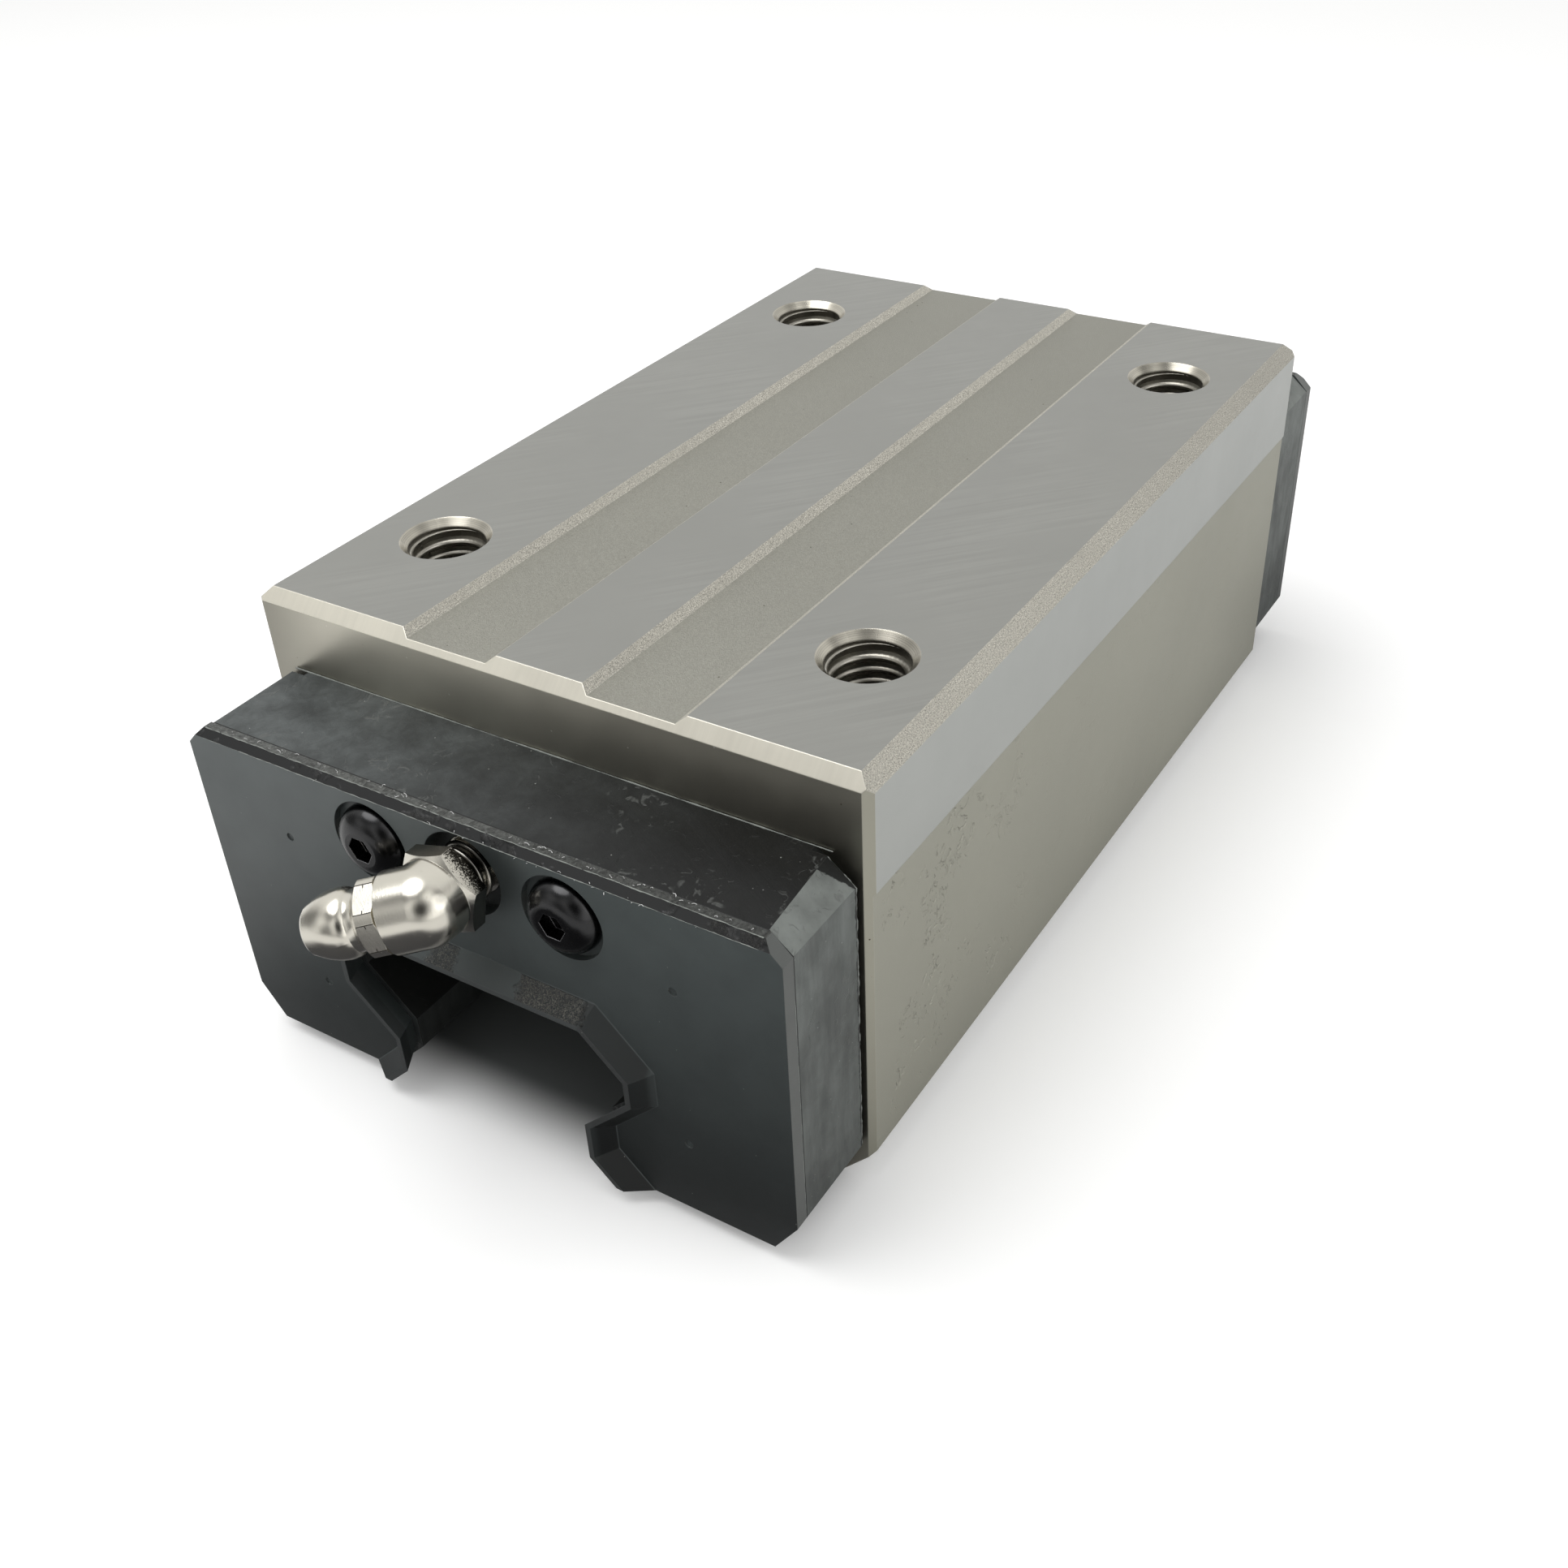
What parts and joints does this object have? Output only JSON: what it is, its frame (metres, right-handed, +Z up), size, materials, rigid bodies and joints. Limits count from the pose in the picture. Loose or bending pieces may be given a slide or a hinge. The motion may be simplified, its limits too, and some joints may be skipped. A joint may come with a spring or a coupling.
{
  "type": "linear bearing block",
  "caption": "Ball bearing block for a profile rail, with a ground steel body, moulded end plates, rubber end seals and an angled grease nipple.",
  "frame": {"origin": "centre of the four tapped mounting holes, on the top mounting face", "axes": "+Z up out of the mounting face, +Y along the rail away from the grease nipple, +X across the rail"},
  "size_m": [0.07, 0.1453, 0.0475],
  "materials": {
    "ground_steel": "ground on top and along the sides, blasted grooves and chamfers",
    "end_plate_plastic": "satin moulded, scuffed",
    "seal_rubber": "semi-gloss moulded rubber",
    "black_screws": "glossy black oxide",
    "guide_plastic": "plain moulded",
    "bearing_balls": "polished",
    "retainer_plastic": "plain moulded, oily",
    "nipple_plating": "bright plated",
    "spring_steel": "drawn wire"
  },
  "bodies": {
    "block": {"block_body": "ground_steel", "front_end_plate": "end_plate_plastic", "rear_end_plate": "end_plate_plastic", "front_end_seal": "seal_rubber", "rear_end_seal": "seal_rubber", "front_screws": "black_screws", "rear_screws": "black_screws", "front_return_guides": "guide_plastic", "rear_return_guides": "guide_plastic", "balls_upper_left": "bearing_balls", "balls_upper_right": "bearing_balls", "balls_lower_left": "bearing_balls", "balls_lower_right": "bearing_balls", "top_retainer": "retainer_plastic", "side_retainer_left": "retainer_plastic", "side_retainer_right": "retainer_plastic", "lower_retainer_left": "retainer_plastic", "lower_retainer_right": "retainer_plastic", "nipple_elbow": "nipple_plating", "nipple_head": "nipple_plating", "nipple_spring": "spring_steel", "rear_port_plug": "black_screws"},
    "check_valve": {"nipple_check_ball": "bearing_balls"}
  },
  "joints": [
    {"name": "check_ball_slide", "type": "slide", "parent": "block", "child": "check_valve", "axis": [0.8444, 0.4695, 0.2581], "range_m": [0, 0.0008], "stiffness_N_per_m": 100, "springref_m": -0.001, "deforming": ["nipple_spring"]}
  ]
}
